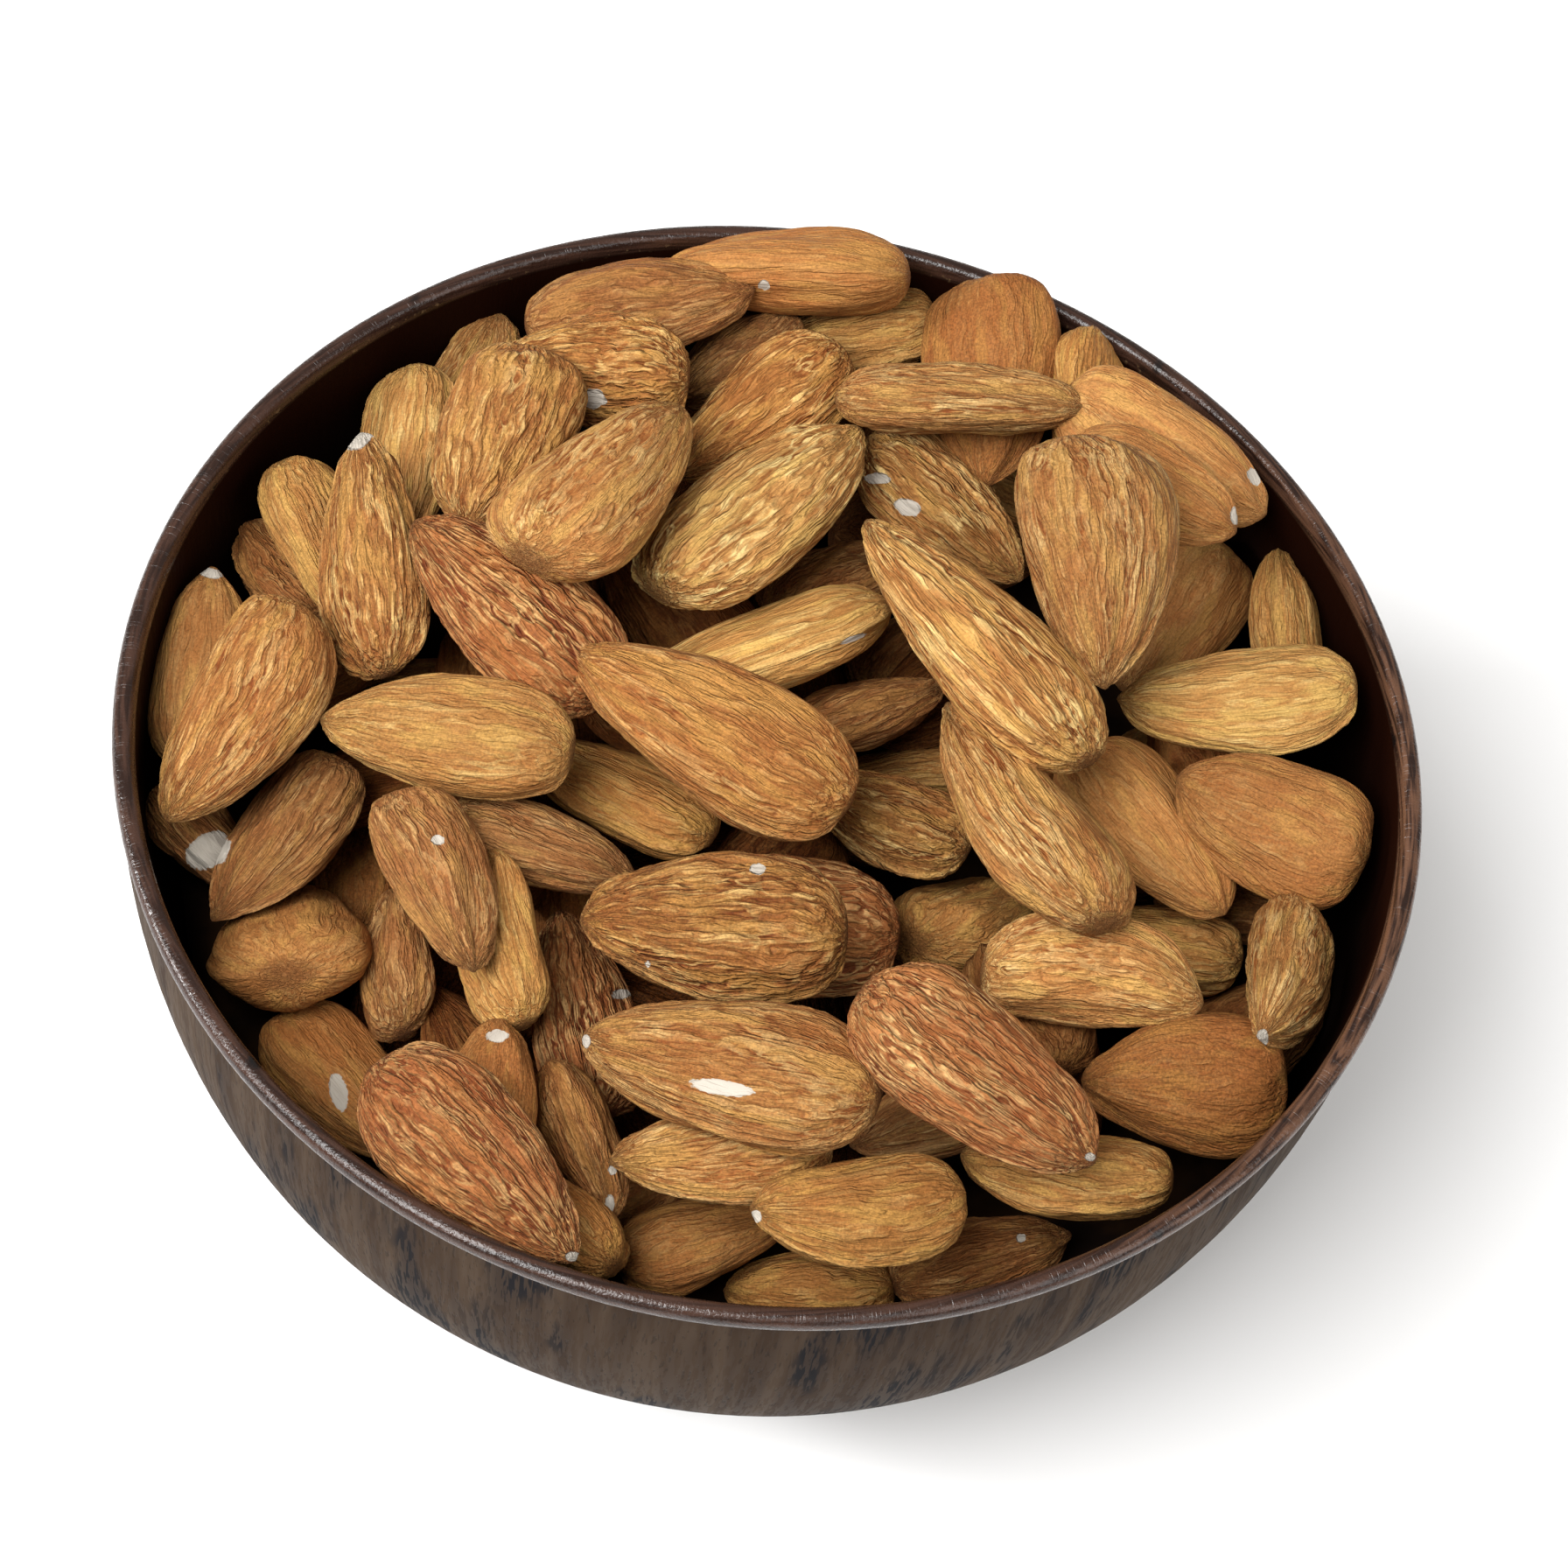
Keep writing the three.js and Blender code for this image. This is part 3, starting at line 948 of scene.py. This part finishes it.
def relief_tree(finish):
    """A geometry-nodes tree that sinks the grooves into a mesh along its normals."""
    cells_round, cells_along, depth, _ = FINISHES[finish]
    tree = bpy.data.node_groups.new(f"relief_{finish}", "GeometryNodeTree")
    tree.interface.new_socket("Geometry", in_out="INPUT", socket_type="NodeSocketGeometry")
    tree.interface.new_socket("Geometry", in_out="OUTPUT", socket_type="NodeSocketGeometry")
    nodes = Nodes(tree)
    start = nodes.add("NodeGroupInput")
    end = nodes.add("NodeGroupOutput")
    kind = "GeometryNodeInputNamedAttribute"
    skin, seed = (
        nodes.add(kind, {"Name": name}, data_type="FLOAT_VECTOR").outputs["Attribute"]
        for name in ("skin", "seed")
    )
    apart = off_groove(nodes, skin, seed, cells_round, cells_along)
    steep = nodes.math("MINIMUM", nodes.times(apart, 5.0), 1.0)
    crest = nodes.math("POWER", steep, 0.6)
    sunk = nodes.times_plus(crest, depth, -depth)
    ridges = nodes.times_plus(seam(nodes, skin), SEAM_RISE, sunk)
    # Towards both ends the grooves and the lumps fade out.
    to_end = nodes.math("ABSOLUTE", nodes.parts(skin)["Z"])
    fading = nodes.between(to_end, 0.70, 0.98, 1.0, 0.15)
    rounding = nodes.between(to_end, 0.60, 0.95, 1.0, 0.10)
    lumps = nodes.noise(nodes.vector("ADD", skin, seed), 1.2, 1)
    uneven = nodes.times(nodes.math("SUBTRACT", lumps, 0.5), LUMPS)
    lumpy = nodes.times(uneven, rounding)
    height = nodes.times_plus(ridges, fading, lumpy)
    normal = nodes.add("GeometryNodeInputNormal").outputs[0]
    moved = nodes.scaled(normal, height)
    place = nodes.add("GeometryNodeSetPosition", {"Geometry": start.outputs[0], "Offset": moved})
    nodes.put(place.outputs["Geometry"], end.inputs[0])
    return tree


reliefs = {finish: relief_tree(finish) for finish in FINISHES}
print("relief trees:", sorted(reliefs))

# %% [markdown]
# ## The almonds themselves
#
# Each almond is a copy of its mould with a mesh of its own, brought to its real size,
# given its seed and its tint, which holds its own colour and its painted shade, wrinkled
# by the relief tree, and moved to where it came to rest. All almonds of one finish are
# then joined into one piece.

# %% Almonds
def constant(mesh, name, value):
    """Writes the same vector to every vertex of a mesh."""
    attribute = mesh.attributes.new(name, "FLOAT_VECTOR", "POINT")
    attribute.data.foreach_set("vector", list(value) * len(mesh.vertices))


def make_almond(kernel, centre, finish, tint_and_shade):
    only(plain_moulds[kernel.form] if finish == "below" else moulds[kernel.form])
    bpy.ops.object.duplicate()
    almond = bpy.context.object
    almond.scale = kernel.size
    bpy.ops.object.transform_apply(location=False, rotation=False, scale=True)
    constant(almond.data, "seed", [chance.uniform(0, 90) for _ in range(3)])
    # The tint's third number darkens the almond: its own colour, and painted shade where it lies
    # low or deep in the heap.
    constant(almond.data, "tint_and_shade", (chance.uniform(-1, 1), chance.uniform(-1, 1), tint_and_shade))
    modifier = almond.modifiers.new("relief", "NODES")
    modifier.node_group = reliefs[finish]
    bpy.ops.object.modifier_apply(modifier="relief")
    almond.matrix_world = kernel.matrix(centre)
    bpy.ops.object.transform_apply(location=True, rotation=True, scale=True)
    return almond


kinds = {finish: [] for finish in FINISHES}
for kernel, centre, finish, tint_and_shade in laid:
    kinds[finish].append(make_almond(kernel, centre, finish, tint_and_shade))

heaps = []
for finish, almonds in kinds.items():
    bpy.ops.object.select_all(action="DESELECT")
    for almond in almonds:
        almond.select_set(True)
    bpy.context.view_layer.objects.active = almonds[0]
    bpy.ops.object.join()
    heap = bpy.context.object
    heap.name = f"almonds_{finish}"
    bpy.ops.object.shade_smooth()
    heaps.append(heap)
    print(heap.name, len(almonds), "almonds", triangles(heap), "triangles")

bpy.ops.object.select_all(action="DESELECT")
for spare in [*cages.values(), *moulds.values(), *plain_moulds.values(), *proxies.values()]:
    spare.select_set(True)
bpy.ops.object.delete()

# %% [markdown]
# Here and there the brown skin has come off and the white flesh shows: as chips on the
# bellies, as a broken end, and as the pale nib at many tips. Each is noted by its
# pixel, its size and its direction in the photograph. A ray from the camera finds the
# almond it is on, and an attribute called bare is raised round that point: 1 in the
# middle of the chip, 0 at its edge, and less outside. The material turns it white.

# %% Where the skin is off
def chip_at(x, y, length, width=None, direction=0):
    """A bare spot: its pixel, its length and width in pixels, its direction in degrees."""
    return Vector((x, y)), length, width or length, math.radians(direction)


CHIPS = [
    chip_at(873, 326, 14), chip_at(678, 456, 30, 24), chip_at(410, 502, 34, 22, -30),
    chip_at(1003, 547, 32, 14), chip_at(1037, 580, 34, 20, 20),
    chip_at(1433, 545, 22, 14, 60), chip_at(1412, 590, 12, 22), chip_at(975, 730, 34, 7, -20),
    chip_at(500, 960, 18, 12), chip_at(238, 972, 40, 56, 60), chip_at(866, 993, 20, 14),
    chip_at(710, 1136, 26, 12, -8), chip_at(825, 1243, 78, 19, 8), chip_at(387, 1248, 48, 21, 80),
    chip_at(568, 1184, 26, 16), chip_at(697, 1376, 11, 22), chip_at(655, 1436, 20, 12),
    chip_at(1167, 1415, 12), chip_at(240, 655, 30, 12, 10), chip_at(1443, 1186, 14, 20),
    chip_at(1246, 1322, 13, 10), chip_at(670, 1190, 10, 17), chip_at(700, 1337, 10, 13),
    chip_at(864, 1390, 14, 16), chip_at(741, 1102, 8),
]


def off_centre(spot, chip):
    """How far a pixel is from a chip's middle: 1 at its edge."""
    middle, length, width, direction = chip
    x, y = spot - middle
    along = x * math.cos(direction) + y * math.sin(direction)
    across = y * math.cos(direction) - x * math.sin(direction)
    return math.hypot(along / (length / 2), across / (width / 2))


def pixel_of(place):
    """The pixel where the camera sees a point."""
    seen_from_camera = place - CAMERA_PLACE
    depth = seen_from_camera.dot(ahead)
    across, up = seen_from_camera.dot(side) / depth, seen_from_camera.dot(top) / depth
    return Vector((PHOTO_SIDE / 2 + across * FOCAL_PIXELS, PHOTO_SIDE / 2 - up * FOCAL_PIXELS))


for heap in heaps:
    heap.data.attributes.new("bare", "FLOAT", "POINT")
    heap.data.attributes["bare"].data.foreach_set("value", [-1.0] * len(heap.data.vertices))

for chip in CHIPS:
    hits = []
    for heap in heaps:
        hit, place, _, _ = heap.ray_cast(CAMERA_PLACE, sight(chip[0]))
        if hit:
            hits.append(((place - CAMERA_PLACE).length, place, heap.data))
    _, place, mesh = min(hits, key=lambda row: row[0])
    reach = max(chip[1], chip[2]) * CAMERA_DISTANCE / FOCAL_PIXELS
    for vertex, bare in zip(mesh.vertices, mesh.attributes["bare"].data):
        if (vertex.co - place).length < reach:
            bare.value = max(bare.value, 1 - off_centre(pixel_of(vertex.co), chip))

# %% [markdown]
# ## Materials: the almond skin
#
# One function makes the skin for every finish, from three colours: the groove, the
# body and the crest of a ridge. The darker groove and the lighter crest are partly the
# skin's own colour and dust, and partly painted shade and a painted highlight. The ridge
# height decides between them, more clearly in some patches than in others, and a finer
# noise along the same veins adds thin streaks.
# Thin golden lines wind along some crests, there are golden blotches, and a broad noise
# in object space lets the body drift between orange and brown. A very fine grain stands
# for the dust that almonds always carry; it also roughens the skin, so it stays matte.

# %% Almond skin
SKINS = {
    # groove, body, crest
    "smooth": ((0.240, 0.072, 0.016), (0.378, 0.168, 0.048), (0.460, 0.272, 0.098)),
    "fine": ((0.168, 0.043, 0.008), (0.392, 0.186, 0.054), (0.530, 0.336, 0.130)),
    "ridged": ((0.130, 0.031, 0.005), (0.374, 0.169, 0.046), (0.610, 0.404, 0.150)),
    "red": ((0.100, 0.021, 0.005), (0.300, 0.110, 0.032), (0.505, 0.305, 0.120)),
    "golden": ((0.220, 0.066, 0.012), (0.388, 0.189, 0.052), (0.550, 0.372, 0.134)),
    "brown": ((0.105, 0.028, 0.008), (0.288, 0.122, 0.036), (0.450, 0.270, 0.104)),
    # The filling's skin is darker: a painted shade deep in the heap.
    "below": ((0.085, 0.024, 0.007), (0.208, 0.082, 0.023), (0.310, 0.160, 0.054)),
}
FLESH = (0.43, 0.385, 0.325)


def almond_skin(finish):
    groove, body, crest = SKINS[finish]
    cells_round, cells_along, depth, marked = FINISHES[finish]
    made = bpy.data.materials.new(f"skin_{finish}")
    made.use_nodes = True
    nodes = Nodes(made.node_tree)
    shader = made.node_tree.nodes["Principled BSDF"]
    skin, seed, tint_and_shade = (
        nodes.add("ShaderNodeAttribute", attribute_name=name).outputs["Vector"]
        for name in ("skin", "seed", "tint_and_shade")
    )
    bare = nodes.add("ShaderNodeAttribute", attribute_name="bare").outputs["Fac"]
    place = nodes.add("ShaderNodeTexCoord").outputs["Object"]
    tint_and_shade_parts = nodes.parts(tint_and_shade)
    along = nodes.parts(skin)["Z"]

    # The large ridges, the finer ones between them, hair-thin lines, and the dust.
    apart = off_groove(nodes, skin, seed, cells_round, cells_along)
    finer = off_groove(nodes, skin, seed, cells_round * 2.3, cells_along * 2.3)
    streak = nodes.between(finer, 0.0, 0.12)
    hair = off_groove(nodes, skin, seed, cells_round * 5, cells_along * 3)
    grain = nodes.noise(place, 4400, 3, 0.65)

    # Here and there a thin golden line winds along a crest.
    windings = off_groove(nodes, skin, seed, cells_round * 0.75, cells_along * 1.4)
    veins = nodes.between(windings, 0.009 * cells_round, 0.003 * cells_round)

    # Grooves are darker and crests and the keel lighter, more clearly in some places than in
    # others: red-brown skin and dust, and in part painted shade in the grooves and a painted
    # highlight on the raised parts.
    patches = nodes.noise(nodes.stretched(skin, (1.6, 1.6, 1.1), seed), 1.4, 2)
    clear = nodes.between(patches, 0.38, 0.58, marked * 0.55, marked)
    off_keel = nodes.times_plus(seam(nodes, skin), -0.6, 1.0)
    in_groove = nodes.between(apart, 0.075, 0.0)
    sunken = nodes.math("MAXIMUM", in_groove, nodes.between(streak, 1.0, 0.0, 0.0, 0.42))
    sunken = nodes.times(nodes.times(sunken, off_keel), clear)
    colour = nodes.blend(sunken, body, groove)
    crown = nodes.between(apart, 0.08, 0.17)
    if finish == "red":
        # Here only the edges of the wide ridges are pale: dust, and in part a painted highlight.
        edge = nodes.between(apart, 0.03, 0.06)
        crown = nodes.times(edge, nodes.between(apart, 0.13, 0.08, 0.1, 1))
    raised = nodes.times(crown, nodes.between(streak, 0, 1, 0.3, 1))
    raised = nodes.math("MAXIMUM", raised, nodes.math("SUBTRACT", 1.0, off_keel))
    veins = nodes.times(veins, nodes.between(patches, 0.44, 0.60, 0.0, 0.65))
    raised = nodes.math("MAXIMUM", raised, veins)
    colour = nodes.blend(nodes.times(raised, clear), colour, crest)

    # The body drifts to brown in broad areas and has golden blotches; both ends are darker.
    drift = nodes.between(nodes.noise(place, 170, 3), 0.42, 0.66, 0.0, 0.55)
    colour = nodes.blend(drift, colour, (body[0] * 0.82, body[1] * 0.66, body[2] * 0.60))
    blotches = nodes.noise(nodes.stretched(skin, (2.2, 2.2, 1.7), seed), 1.4, 3)
    gold = nodes.between(blotches, 0.50, 0.64, 0.0, 0.35 if finish == "red" else 0.7)
    colour = nodes.blend(gold, colour, (body[0] * 1.17, body[1] * 1.34, body[2] * 1.26))
    tip = nodes.between(along, 0.66, 0.98, 0.0, 0.4)
    colour = nodes.blend(tip, colour, (body[0] * 0.66, body[1] * 0.60, body[2] * 0.66))
    butt = nodes.between(along, -0.80, -0.96, 0.0, 0.8)
    colour = nodes.blend(butt, colour, (body[0] * 0.50, body[1] * 0.42, body[2] * 0.42))

    # Every almond is a little lighter or darker, and redder or yellower, at random. The third
    # number of its tint darkens and reddens it more: in part its own colour, in part painted
    # shade for almonds that lie low or deep in the heap.
    dusty = nodes.between(grain, 0.32, 0.70, 0.78, 1.18)
    shade = nodes.times_plus(tint_and_shade_parts["X"], 0.08, dusty)
    shade = nodes.times_plus(tint_and_shade_parts["Z"], 0.46, shade)
    shade = nodes.times(shade, nodes.between(hair, 0.0, 0.12, 0.93, 1.03))
    green = nodes.times_plus(tint_and_shade_parts["Z"], 0.15, nodes.times_plus(tint_and_shade_parts["Y"], 0.06, 1.0))
    blue = nodes.times_plus(tint_and_shade_parts["Z"], 0.26, nodes.times_plus(tint_and_shade_parts["Y"], 0.12, 1.0))
    warm = nodes.add("ShaderNodeCombineColor", {"Red": 1.0, "Green": green, "Blue": blue})
    colour = nodes.blend(1.0, colour, warm.outputs[0], "MULTIPLY")
    shaded = nodes.scaled(colour, shade)

    # Bare flesh, with a ragged edge.
    ragged = nodes.times_plus(nodes.noise(place, 1500, 2), 0.6, bare)
    flaked = nodes.between(ragged, 0.30, 0.38)
    nodes.put(nodes.blend(flaked, shaded, FLESH), shader.inputs["Base Color"])

    reach = depth * 1.05 + 0.03 * MM
    relief = nodes.times(streak, 0.35)
    relief = nodes.times_plus(nodes.between(apart, 0.0, 0.13), 0.8, relief)
    relief = nodes.times_plus(grain, 0.06 * MM / reach, relief)
    relief = nodes.times(relief, nodes.between(bare, 0.0, 0.2, 1.0, 0.25))
    bump = nodes.add("ShaderNodeBump", {"Height": relief, "Strength": 0.9, "Distance": reach})
    nodes.put(bump.outputs[0], shader.inputs["Normal"])
    nodes.put(nodes.between(grain, 0.3, 0.7, 0.64, 0.82), shader.inputs["Roughness"])
    shader.inputs["Specular IOR Level"].default_value = 0.08 if finish == "below" else 0.15
    return made


for finish, heap in zip(kinds, heaps):
    heap.data.materials.clear()
    heap.data.materials.append(almond_skin(finish))
# The core is painted near black: a painted shade for the dark deep in the heap.
shadow = bpy.data.materials.new("painted_shade_deep_in_heap")
shadow.use_nodes = True
deep = Nodes(shadow.node_tree)
deep_noise = deep.noise(deep.add("ShaderNodeTexCoord").outputs["Object"], 120, 3)
deep_share = deep.between(deep_noise, 0.4, 0.65)
deep_colour = deep.blend(deep_share, (0.006, 0.003, 0.002), (0.022, 0.010, 0.004))
deep_skin = shadow.node_tree.nodes["Principled BSDF"].inputs
deep.put(deep_colour, deep_skin["Base Color"])
deep_skin["Roughness"].default_value = 0.9
deep_skin["Specular IOR Level"].default_value = 0.05
core.data.materials.append(shadow)
print("skins:", [heap.data.materials[0].name for heap in heaps])

# %% [markdown]
# ## Materials: the wood
#
# The bowl is stained dark and oiled. Outside, it is a grey brown with upright grain:
# groups of darker strokes, and short fine pores. Inside, it is red brown near the lip and
# painted nearly black deep down, a painted shade. The lip is glossier, with fine lines
# from turning, a few knots and torn specks, and on the right it is painted a lighter
# brown, a painted light. The grain is a noise at the direction of each point as seen
# from the axis, and at its height, stretched upwards, so it runs round the bowl without
# a join.

# %% Dark wood
def dark_wood():
    made = bpy.data.materials.new("dark_wood_oiled")
    made.use_nodes = True
    nodes = Nodes(made.node_tree)
    shader = made.node_tree.nodes["Principled BSDF"]
    coordinates = nodes.add("ShaderNodeTexCoord").outputs
    place = coordinates["Object"]
    height = nodes.parts(place)["Z"]
    flat = nodes.vector("MULTIPLY", place, (1, 1, 0))
    outward = nodes.vector("NORMALIZE", flat)
    facing = nodes.vector("DOT_PRODUCT", coordinates["Normal"], outward, output="Value")

    def grain_at(scale, stretch, detail, roughness=0.5):
        """A noise on the outside of the bowl, stretched upwards."""
        upright = nodes.add("ShaderNodeCombineXYZ", {"Z": nodes.times(height, stretch)})
        spot = nodes.stretched(outward, (RIM_RADIUS, RIM_RADIUS, 0), upright.outputs[0])
        return nodes.noise(spot, scale, detail, roughness)

    # Outside: groups of blue-black strokes on grey brown, and short pores everywhere.
    groups = nodes.between(grain_at(180, 0.22, 3, 0.55), 0.50, 0.62)
    strokes = nodes.between(grain_at(2300, 0.10, 2, 0.6), 0.47, 0.56)
    pores = nodes.between(grain_at(3600, 0.16, 1), 0.60, 0.68)
    tone = nodes.between(grain_at(420, 0.06, 2), 0.35, 0.65)
    outer = nodes.blend(tone, (0.033, 0.0195, 0.0118), (0.055, 0.0355, 0.0225))
    dark = nodes.times(groups, nodes.between(strokes, 0, 1, 0.30, 0.95))
    outer = nodes.blend(dark, outer, (0.007, 0.007, 0.009))
    outer = nodes.blend(nodes.times(pores, 0.35), outer, (0.009, 0.008, 0.008))

    # Inside: red brown under the lip, painted nearly black below as painted shade.
    lit = nodes.between(height, 0.044, 0.0585)
    inner = nodes.blend(lit, (0.003, 0.0015, 0.001), (0.0105, 0.0027, 0.0011))

    # The lip: worn smooth, with lines from turning, a few knots, and golden specks where
    # the tool tore the grain. On the right its lines are painted a lighter brown: painted light.
    fleck = nodes.noise(place, 1400, 3, 0.65)
    radius = nodes.vector("LENGTH", flat, output="Value")
    ring = nodes.add("ShaderNodeCombineXYZ", {"X": radius, "Y": height}).outputs[0]
    turned_lines = nodes.noise(nodes.stretched(outward, (0.005, 0.005, 0), ring), 2600, 2)
    lines = nodes.between(turned_lines, 0.36, 0.64)
    rim = nodes.blend(lines, (0.017, 0.0075, 0.005), (0.044, 0.0205, 0.0135))
    # Painted light: the right of the lip is lighter along its turning lines.
    east = nodes.parts(outward)["X"]
    painted_light_on_right = nodes.times(nodes.between(east, 0.45, 0.95), lines)
    rim = nodes.blend(painted_light_on_right, rim, (0.105, 0.050, 0.028))
    knots = nodes.between(nodes.noise(place, 190, 2), 0.66, 0.72)
    rim = nodes.blend(knots, rim, (0.005, 0.004, 0.004))
    torn = nodes.times(nodes.between(fleck, 0.60, 0.66), nodes.between(height, 0.0592, 0.0586))
    rim = nodes.blend(torn, rim, (0.13, 0.08, 0.04))
    on_rim = nodes.between(height, 0.0582, 0.0588)
    outer_side = nodes.math(
        "MAXIMUM", nodes.between(facing, -0.05, 0.10), nodes.between(height, 0.010, 0.004)
    )
    colour = nodes.blend(outer_side, inner, outer)
    nodes.put(nodes.blend(on_rim, colour, rim), shader.inputs["Base Color"])

    sparkle = nodes.noise(place, 4600, 2)
    gloss = nodes.between(sparkle, 0.3, 0.7, 0.14, 0.32)
    satin = nodes.between(strokes, 0.0, 1.0, 0.54, 0.64)
    finish_mix = nodes.add("ShaderNodeMix", {0: on_rim, 2: satin, 3: gloss})
    nodes.put(finish_mix.outputs[0], shader.inputs["Roughness"])
    nodes.put(nodes.between(on_rim, 0.0, 1.0, 0.02, 0.40), shader.inputs["Specular IOR Level"])
    rough = nodes.times(nodes.math("MAXIMUM", dark, pores), -0.5)
    pitted = nodes.times_plus(sparkle, 0.5, fleck)
    rough = nodes.times_plus(nodes.times(pitted, on_rim), 1.6, rough)
    bump = nodes.add("ShaderNodeBump", {"Height": rough, "Strength": 0.5, "Distance": 0.10 * MM})
    nodes.put(bump.outputs[0], shader.inputs["Normal"])
    return made


bowl.data.materials.append(dark_wood())
print("wood:", bowl.data.materials[0].name)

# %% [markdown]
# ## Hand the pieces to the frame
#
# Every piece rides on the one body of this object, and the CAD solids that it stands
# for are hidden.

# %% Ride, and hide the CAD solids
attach(bowl, "root")
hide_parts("bowl")
for piece in [core, *heaps]:
    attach(piece, "root")
    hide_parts("almond_heap")
